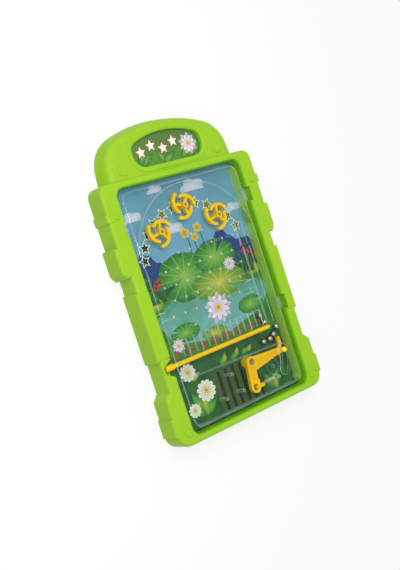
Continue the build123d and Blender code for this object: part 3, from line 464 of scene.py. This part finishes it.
# Water lilies: two whorls of pointed petals round a yellow heart
lily_points = 1 - np.abs(2 * ((9 * lap) % 1) - 1)
lily_reach = 0.42 + 0.58 * lily_points**0.75
lily_ink = painted_ink("lily_ink", "#b98fae", "#dccfdb", "#efe9ee", 9, "#a888a2", 0.5)
lily_shade_ink = painted_ink("lily_shade_ink", "#9a7a98", "#b9a3b9", "#d2c4d2", 9, "#8f7590", 0.5)
pollen_ink = painted_ink("pollen_ink", "#b7802a", "#d9ae2a", "#ecd060")
lilies = [(5, -16, 17), (-52, -36, 8), (34, 20, 8)]
fans("lily_shade_print", [outline(x, y, size, 0.92 * size, lily_reach, 20) for x, y, size in lilies],
     9, lily_shade_ink)
fans("lily_print", [outline(x, y, 0.8 * size, 0.74 * size, lily_reach) for x, y, size in lilies],
     10, lily_ink)
fans("lily_heart_print", [outline(x, y, 0.2 * size, 0.18 * size, round_reach) for x, y, size in lilies],
     11, pollen_ink)

# Buttercups in front of the hills
stem_foot = 40
stems = [np.column_stack([x + bend * t * (1 - t), stem_foot + rise * t])
         for x, bend, rise in [(-6, 8, 20), (4, -6, 14), (10, 10, 22)]]
strokes("buttercup_stem_print", stems, [1.1] * len(stems), 9, blade_ink)
buttercup_ink = painted_ink("buttercup_ink", "#a87c1c", "#d2b033", "#dcc654", 5, "#a88a26", 0.6)
buttercups = [(-6, 61, 5.6, 20), (4, 55, 4.6, 50), (10, 63, 5.2, 0)]
fans("buttercup_print", [outline(x, y, size, size, flower_reach, turn) for x, y, size, turn in buttercups],
     10, buttercup_ink)

# Arc of stars round the spinners, in two greens with a cream rim
star_reach = np.tile([1.0, 0.46], 5)
star_angles = np.radians(np.linspace(168, 20, 12))
stars = np.column_stack([60 * np.cos(star_angles), 36 + 52 * np.sin(star_angles), np.degrees(star_angles)])
star_rim_ink = print_ink("star_rim_ink", "#e2e2c2", "#d6d8b4", 4.0)
dark_star_ink = painted_ink("dark_star_ink", "#2c3a33", "#1c2a28", "#16211f")
olive_star_ink = painted_ink("olive_star_ink", "#8a8c40", "#6a7030", "#555f2a")
for name, some_stars, radius, layer, ink in [("star_rim_print", stars, 7.0, 9, star_rim_ink),
                                             ("dark_star_print", stars[:4], 5.0, 10, dark_star_ink),
                                             ("olive_star_print", stars[4:], 5.0, 10, olive_star_ink)]:
    fans(name, [outline(x, y, radius, radius, star_reach, turn) for x, y, turn in some_stars], layer, ink)

# Score numbers, one in each slot, brick red with a brown rim
number_height, number_foot = 8.6, -46.4
slot_middles = [-58.6, -41.1, -25.9, -10.5, 4.8, 20.1, 35.4, 49.4]
slot_scores = [10, 30, 20, 50, 80, 40, 60, 20]


def numbers(name, swell, layer, ink):
    """Plain numbers as flat meshes, their strokes swollen by so many millimetres."""
    shapes, faces, start = [], [], 0
    for x, score in zip(slot_middles, slot_scores):
        words = bpy.data.curves.new("number", "FONT")
        words.body = str(score)
        words.size = number_height
        words.offset = swell
        words.align_x = "CENTER"
        holder = bpy.data.objects.new("number", words)
        shape = bpy.data.meshes.new_from_object(holder)
        flat = np.empty(3 * len(shape.vertices))
        shape.vertices.foreach_get("co", flat)
        shapes.append(flat.reshape(-1, 3)[:, :2] + (x, number_foot))
        faces += [[start + corner for corner in face.vertices] for face in shape.polygons]
        start += len(shape.vertices)
        bpy.data.objects.remove(holder)
    lay_print(name, shapes, faces, layer, ink, card_top)


number_rim_ink = print_ink("number_rim_ink", "#5e3a26", "#6c4a30", 3.0)
numbers("number_rim_print", 0.55, 11, number_rim_ink)
number_ink = print_ink("number_ink", "#9c5a48", "#a66855", 3.0)
numbers("number_print", 0.22, 12, number_ink)

# Lower bay: a clipped hedge in stripes, leaves and daisies
hedge_ink = print_ink("hedge_ink", "#1f4a24", "#2f6831", 10.0)
hedge = np.array([(-card_edge_x, -card_edge_y), (card_edge_x, -card_edge_y), (card_edge_x, -55),
                  (-card_edge_x, -51)])
patches("hedge_print", [hedge], 6, hedge_ink)
stripe_pitch, stripe_low, stripe_high = 9, -110, -72
stripe_ink = print_ink("stripe_ink", "#4c5c2c", "#415026", 4.0)
stripes = [np.array([(x, stripe_low), (x, stripe_high)], float) for x in np.arange(-24, 26, stripe_pitch)]
strokes("stripe_print", stripes, [4.4] * len(stripes), 7, stripe_ink)
shade_ink = print_ink("shade_ink", "#132318", "#1a2e22", 4.0)
shades = [stripe + (stripe_pitch / 2, 0) for stripe in stripes]
strokes("shade_print", shades, [3.6] * len(shades), 7, shade_ink)
sprig_ink = painted_ink("sprig_ink", "#7fae3e", "#4c9438", "#2f7030")
sprigs = [(-46, -104, 27, 12, 62), (-46, -104, 25, 11, 112), (-46, -104, 18, 9, 30), (-46, -104, 18, 9, 148),
          (42, -110, 20, 9, 118), (42, -110, 20, 8, 66), (-14, -68, 12, 6, 40), (0, -67, 12, 6, 25),
          (14, -66, 11, 6, 20)]
fans("sprig_print", [petal(*leaf) for leaf in sprigs], 8, sprig_ink)
young_sprig_ink = painted_ink("young_sprig_ink", "#b9b84a", "#8da33a", "#5f8a34")
young_sprigs = [(-44, -106, 24, 8, 88), (44, -111, 16, 7, 92), (-8, -67, 10, 5, 70), (7, -66, 10, 5, 60),
                (22, -66, 9, 4.5, 40), (-52, -70, 14, 7, 20)]
fans("young_sprig_print", [petal(*leaf) for leaf in young_sprigs], 9, young_sprig_ink)
daisy_reach = 0.62 + 0.38 * np.abs(np.cos(11 * np.pi * lap)) ** 0.4
daisy_ink = painted_ink("daisy_ink", "#bdb9a4", "#dcd8c8", "#eeece2", 11, "#a9a592", 0.6)
daisies = [(-38, -84, 11), (-57, -97, 7), (-52, -62, 9)]
fans("daisy_print", [outline(x, y, size, 0.94 * size, daisy_reach) for x, y, size in daisies], 10, daisy_ink)
fans("daisy_heart_print", [outline(x, y, 0.28 * size, 0.27 * size, round_reach) for x, y, size in daisies],
     11, pollen_ink)


# Header card.
# A second printed card, glued behind the window of the header: leaf green with a row of cream stars and a
# lily. Its ground is an ellipse drawn out towards its corners by powers of the cosine and the sine.
header_low, header_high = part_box("header_card")
header_margin = 0.4
header_half_x = (header_high.x - header_low.x) / 2 * 1000 - header_margin
header_half_y = (header_high.y - header_low.y) / 2 * 1000 - header_margin
header_y = (header_low.y + header_high.y) / 2 * 1000 - opening_y
on_header = ("header_print", header_high.z * 1000)
cosine, sine = np.cos(2 * np.pi * lap), np.sin(2 * np.pi * lap)
window = np.column_stack([header_half_x * np.sign(cosine) * np.abs(cosine) ** 0.5,
                          header_y + header_half_y * np.sign(sine) * np.abs(sine) ** 0.6])
header_ink = print_ink("header_ink", "#4f8f2d", "#54703a", 24.0, (header_y - 16, header_y + 14))
patches("header_ground_print", [window], 1, header_ink, *on_header)
header_leaf_ink = painted_ink("header_leaf_ink", "#7fae45", "#4d8530", "#36682a")
header_leaves = [(-38, -14, 24, 24), (-34, -14, 20, 62), (-8, -16, 20, 30), (-6, -16, 16, 100),
                 (30, -16, 22, 130), (36, -13, 20, 92), (16, -16, 15, 60)]
fans("header_leaf_print",
     [petal(x, header_y + y, size, 0.42 * size, turn) for x, y, size, turn in header_leaves],
     2, header_leaf_ink, *on_header)
star_radius = 6.2
star_rim_radius = 1.3 * star_radius
header_stars = [(-29, -1), (-16, 3.5), (-3, -1), (10, 3.5)]
header_rim_ink = print_ink("header_rim_ink", "#6b2c1c", "#7d3b28", 3.0)
header_star_ink = painted_ink("header_star_ink", "#f4f0e2", "#ece6d4", "#d8cfb8")
for name, radius, layer, ink in [("header_star_rim_print", star_rim_radius, 3, header_rim_ink),
                                 ("header_star_print", star_radius, 4, header_star_ink)]:
    fans(name, [outline(x, header_y + y, radius, radius, star_reach, 90) for x, y in header_stars],
         layer, ink, *on_header)
header_lily = (27, header_y - 2)
for name, radius, reach, turn, layer, ink in [
        ("header_lily_shade_print", 11, lily_reach, 20, 3, lily_shade_ink),
        ("header_lily_print", 8.8, lily_reach, 0, 4, lily_ink),
        ("header_lily_heart_print", 2.2, round_reach, 0, 5, pollen_ink)]:
    fans(name, [outline(*header_lily, radius, radius, reach, turn)], layer, ink, *on_header)


# Clear cover, and the guides, pegs, dividers and posts under it.
# Crystal polystyrene mouldings. Polished faces hardly show straight on, and slanting walls show a pale gloss.
# The guides are glued in. Rounded edges, the guides' end faces and their feet carry pale lines of painted
# highlight.
def clear_styrene(name, slant_share, *bands, glint_mm=None, painted_wall_reflection=None):
    """Clear moulding: see-through, with a pale gloss whose share grows with the fourth power of the slant of
    the view. The share is at least a given one where the height in millimetres, or the upward or lengthwise
    part of the normal, lies in a band: painted highlights, as on end faces and rounded edges. A glint length
    breaks up the painted highlight of the upward band, and favours edges along the sides, most of all on the
    right. Upright walls between two places across may get a painted reflection of the casing beside them, in
    its colour. Little of it all shades what lies below."""
    material, tree = empty_material(name)
    flow_mm = 16.7
    place = add_node(tree, "ShaderNodeTexCoord")
    flow = add_node(tree, "ShaderNodeTexNoise",
                    {"Vector": place.outputs["Object"], "Scale": 1000.0 / flow_mm, "Detail": 2.0})
    gloss = add_node(tree, "ShaderNodeMapRange",
                     {"Value": flow.outputs["Fac"], "To Min": 0.03, "To Max": 0.1})
    slant = add_node(tree, "ShaderNodeLayerWeight", {"Blend": 0.5})
    steep = add_node(tree, "ShaderNodeMath", {0: slant.outputs["Facing"], 1: 4.0}, operation="POWER")
    share = add_node(tree, "ShaderNodeMath",
                     {0: steep.outputs[0], 1: slant_share, 2: 0.003}, operation="MULTIPLY_ADD")
    spot = add_node(tree, "ShaderNodeSeparateXYZ", {"Vector": place.outputs["Object"]})
    normal = add_node(tree, "ShaderNodeSeparateXYZ", {"Vector": place.outputs["Normal"]})
    height = add_node(tree, "ShaderNodeMath", {0: spot.outputs["Z"], 1: 1000.0}, operation="MULTIPLY")
    lengthwise = add_node(tree, "ShaderNodeMath", {0: normal.outputs["Y"]}, operation="ABSOLUTE")
    measures = {"height": height.outputs[0], "up": normal.outputs["Z"], "along": lengthwise.outputs[0]}
    # Painted glint: a slow noise breaks up the upward band, and edges facing right keep most of it.
    if glint_mm:
        broken = add_node(tree, "ShaderNodeTexNoise",
                          {"Vector": place.outputs["Object"], "Scale": 1000.0 / glint_mm, "Detail": 2.0})
        broken = add_node(tree, "ShaderNodeMapRange",
                          {"Value": broken.outputs["Fac"], "From Min": 0.38, "From Max": 0.6, "To Min": 0.35})
        left = add_node(tree, "ShaderNodeMath", {0: normal.outputs["X"], 1: -0.25}, operation="MULTIPLY")
        sides = add_node(tree, "ShaderNodeMath",
                         {0: left.outputs[0], 1: normal.outputs["X"]}, operation="MAXIMUM")
        sides = add_node(tree, "ShaderNodeMapRange",
                         {"Value": sides.outputs[0], "From Min": 0.05, "From Max": 0.3, "To Min": 0.3})
        glint = add_node(tree, "ShaderNodeMath",
                         {0: broken.outputs[0], 1: sides.outputs[0]}, operation="MULTIPLY")
    # Painted highlight: each band raises the pale share to at least its given one.
    for measure, low, high, least in bands:
        within = add_node(tree, "ShaderNodeMath",
                          {0: measures[measure], 1: (low + high) / 2, 2: (high - low) / 2},
                          operation="COMPARE")
        pale = add_node(tree, "ShaderNodeMath", {0: within.outputs[0], 1: least}, operation="MULTIPLY")
        if glint_mm and measure == "up":
            pale = add_node(tree, "ShaderNodeMath",
                            {0: pale.outputs[0], 1: glint.outputs[0]}, operation="MULTIPLY")
        share = add_node(tree, "ShaderNodeMath",
                         {0: share.outputs[0], 1: pale.outputs[0]}, operation="MAXIMUM")
    path = add_node(tree, "ShaderNodeLightPath")
    lit = add_node(tree, "ShaderNodeMath",
                   {0: path.outputs["Is Shadow Ray"], 1: -0.8, 2: 1.0}, operation="MULTIPLY_ADD")
    share = add_node(tree, "ShaderNodeMath", {0: share.outputs[0], 1: lit.outputs[0]}, operation="MULTIPLY")
    skin = add_node(tree, "ShaderNodeBsdfPrincipled",
                    {"Base Color": linear("#e9f0ee"), "Roughness": gloss.outputs[0], "IOR": 1.59})
    through = add_node(tree, "ShaderNodeBsdfTransparent", {"Color": linear("#fbfdfc")})
    mixed = add_node(tree, "ShaderNodeMixShader",
                     {0: share.outputs[0], 1: through.outputs[0], 2: skin.outputs[0]})
    # Painted reflection: upright walls between two places across get a diffuse share in the colour of the
    # casing beside them.
    if painted_wall_reflection:
        near_mm, far_mm, colour, reflection_share = painted_wall_reflection
        beside = add_node(tree, "ShaderNodeMath",
                          {0: spot.outputs["X"], 1: (near_mm + far_mm) / 2000, 2: (far_mm - near_mm) / 2000},
                          operation="COMPARE")
        upright = add_node(tree, "ShaderNodeMath",
                           {0: normal.outputs["Z"], 1: 0.0, 2: 0.3}, operation="COMPARE")
        wall = add_node(tree, "ShaderNodeMath",
                        {0: beside.outputs[0], 1: upright.outputs[0]}, operation="MULTIPLY")
        wall = add_node(tree, "ShaderNodeMath", {0: wall.outputs[0], 1: reflection_share}, operation="MULTIPLY")
        wall = add_node(tree, "ShaderNodeMath", {0: wall.outputs[0], 1: lit.outputs[0]}, operation="MULTIPLY")
        reflected_lime = add_node(tree, "ShaderNodeBsdfDiffuse", {"Color": linear(colour)})
        mixed = add_node(tree, "ShaderNodeMixShader",
                         {0: wall.outputs[0], 1: mixed.outputs[0], 2: reflected_lime.outputs[0]})
    add_node(tree, "ShaderNodeOutputMaterial", {"Surface": mixed.outputs[0]})
    return material


# Painted highlights pick out the cover's edges, the lip of the knob's slot, the rings beside it and the tops
# of the lugs
lip_top, ring_top, lug_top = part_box("clear_cover")[1].z * 1000, 20.35, 15.1
right_wall_inside, right_wall_outside = 66.0, 73.4
# The lime on the right wall of the cover is a painted reflection of the casing beside it.
cover_styrene = clear_styrene(
    "clear_styrene_cover", 0.7, ("up", 0.78, 0.97, 0.55), ("height", ring_top, lip_top - 0.03, 0.34),
    ("height", ring_top - 0.15, ring_top, 0.16), ("height", lug_top - 0.05, lug_top + 0.05, 0.25),
    glint_mm=22.0, painted_wall_reflection=(right_wall_inside, right_wall_outside, "#c8f050", 0.42))
dress(cover_styrene, "clear_cover")

# Guides, pegs, dividers and posts show by painted highlights on their top faces, their feet on the card and
# some on their ends
guide_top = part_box("pegs")[1].z * 1000
rail_styrene = clear_styrene(
    "clear_styrene_rails", 0.5, ("height", guide_top - 0.1, guide_top + 0.1, 0.17),
    ("height", card_top - 0.1, card_top + 0.6, 0.14))
dress(rail_styrene, "arch_rail", "trough_rail")
lane_styrene = clear_styrene(
    "clear_styrene_lane", 0.5, ("height", guide_top - 0.1, guide_top + 0.1, 0.24),
    ("height", card_top - 0.1, card_top + 1.3, 0.6))
dress(lane_styrene, "lane_rail")
peg_styrene = clear_styrene(
    "clear_styrene_pegs", 0.5, ("height", guide_top - 0.1, guide_top + 0.1, 0.42),
    ("height", card_top - 0.1, card_top + 0.9, 0.4), ("along", 0.6, 1.01, 0.3))
dress(peg_styrene, "pegs", "support_posts", "spring_post")
divider_styrene = clear_styrene(
    "clear_styrene_dividers", 0.3, ("height", guide_top - 0.3, guide_top + 0.1, 0.45),
    ("height", card_top - 0.1, card_top + 1.0, 0.75), ("along", 0.35, 1.01, 0.36))
dress(divider_styrene, "slot_dividers")
pin_styrene = clear_styrene("clear_styrene_pins", 0.5, ("height", guide_top - 0.1, guide_top + 0.1, 0.1))
dress(pin_styrene, "spinner_pins", "lever_pin")


# Launch lever, release bar and its knob, and spinners.
# Glossy ABS mouldings, egg yellow and lemon, that turn on pins of the cover or in its bearings. Light goes a
# little way into them, and the lever, the bar and its knob turn lighter towards their tops as a painted
# highlight.
top_light_low, top_light_high = 15.4, 22.4
yellow_abs = moulded_abs("yellow_abs_moulded", "#f2b200", "#f8be02", roughness=0.32, grain_mm=0.5, shine=0.14,
                         depth_mm=2.5, depth_share=0.35, painted_top_light=(top_light_low, top_light_high, "#ffe020"))
dress(yellow_abs, "launch_lever", "release_bar", "release_knob")
lemon_abs = moulded_abs("lemon_abs_moulded", "#fac004", "#ffcb10", roughness=0.32, grain_mm=0.5, shine=0.14,
                        depth_mm=2.5, depth_share=0.35)
dress(lemon_abs, "spinner_left", "spinner_middle", "spinner_right")


# Launch spring.
# A close-wound extension spring of drawn steel wire between the lever's hook and its post. One tube goes
# along a helix whose radius grows from a straight tail on the axis, stays even, and shrinks again. The marks
# of drawing are in the gloss, coarse enough to show.
spring_low, spring_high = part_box("launch_spring")
spring_y = (spring_low.y + spring_high.y) / 2
spring_z = (spring_low.z + spring_high.z) / 2
spring_length = spring_high.x - spring_low.x
wire_radius = 0.00025
coil_radius = (spring_high.y - spring_low.y) / 2 - wire_radius
coil_length = 0.0116
turns_wound, turns_to_swell = 15, 0.6
run = np.linspace(0, 1, 1200)
wound = np.clip((run - 0.5) * spring_length / coil_length + 0.5, 0, 1)
swell = np.clip(np.minimum(wound, 1 - wound) * turns_wound / turns_to_swell, 0, 1)
swell = swell * swell * (3 - 2 * swell)
angle = 2 * np.pi * turns_wound * wound
outward = np.column_stack([np.zeros_like(run), np.cos(angle), np.sin(angle)])
axis = np.column_stack([spring_low.x + spring_length * run, np.full_like(run, spring_y),
                        np.full_like(run, spring_z)])
line = axis + coil_radius * swell[:, None] * outward
along = np.gradient(line, axis=0)
along /= np.linalg.norm(along, axis=1)[:, None]
side = outward - along * np.sum(outward * along, axis=1)[:, None]
side /= np.linalg.norm(side, axis=1)[:, None]
other = np.cross(along, side)
wire_corners = 10
turn = np.linspace(0, 2 * np.pi, wire_corners, endpoint=False)
grid = (line[:, None] + wire_radius * (np.cos(turn)[None, :, None] * side[:, None]
                                       + np.sin(turn)[None, :, None] * other[:, None]))
rows, columns = np.meshgrid(np.arange(len(run) - 1), np.arange(wire_corners), indexing="ij")
here = rows * wire_corners + columns
beside = rows * wire_corners + (columns + 1) % wire_corners
quads = np.stack([here, beside, beside + wire_corners, here + wire_corners], axis=-1).reshape(-1, 4)
first_end = list(range(wire_corners))[::-1]
last_end = list(range((len(run) - 1) * wire_corners, len(run) * wire_corners))
mesh = bpy.data.meshes.new("launch_spring_wire")
mesh.from_pydata(grid.reshape(-1, 3).tolist(), [], quads.tolist() + [first_end, last_end])
mesh.shade_smooth()
spring = bpy.data.objects.new("launch_spring_wire", mesh)
scene.collection.objects.link(spring)
material, tree = empty_material("spring_steel_wire")
draw_mm = 0.667
place = add_node(tree, "ShaderNodeTexCoord")
drawn = add_node(tree, "ShaderNodeTexNoise",
                 {"Vector": place.outputs["Object"], "Scale": 1000.0 / draw_mm, "Detail": 2.0})
gloss = add_node(tree, "ShaderNodeMapRange", {"Value": drawn.outputs["Fac"], "To Min": 0.36, "To Max": 0.5})
shader = add_node(tree, "ShaderNodeBsdfPrincipled",
                  {"Base Color": linear("#cfc2bf"), "Metallic": 0.55, "Roughness": gloss.outputs[0]})
add_node(tree, "ShaderNodeOutputMaterial", {"Surface": shader.outputs[0]})
mesh.materials.append(material)
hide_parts("launch_spring")
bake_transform(spring)


# Balls.
# Six quarter-inch bearing balls of polished chrome steel, loose between the card and the cover. Their gloss
# drifts a little, in patches that are large enough to show.
material, tree = empty_material("bearing_steel_polished")
polish_mm = 1.43
place = add_node(tree, "ShaderNodeTexCoord")
polish = add_node(tree, "ShaderNodeTexNoise",
                  {"Vector": place.outputs["Object"], "Scale": 1000.0 / polish_mm, "Detail": 2.0})
gloss = add_node(tree, "ShaderNodeMapRange", {"Value": polish.outputs["Fac"], "To Min": 0.05, "To Max": 0.12})
shader = add_node(tree, "ShaderNodeBsdfPrincipled",
                  {"Base Color": linear("#a59f95"), "Metallic": 1.0, "Roughness": gloss.outputs[0]})
add_node(tree, "ShaderNodeOutputMaterial", {"Surface": shader.outputs[0]})
dress(material, "lane_ball", "trough_balls", "slot_balls")
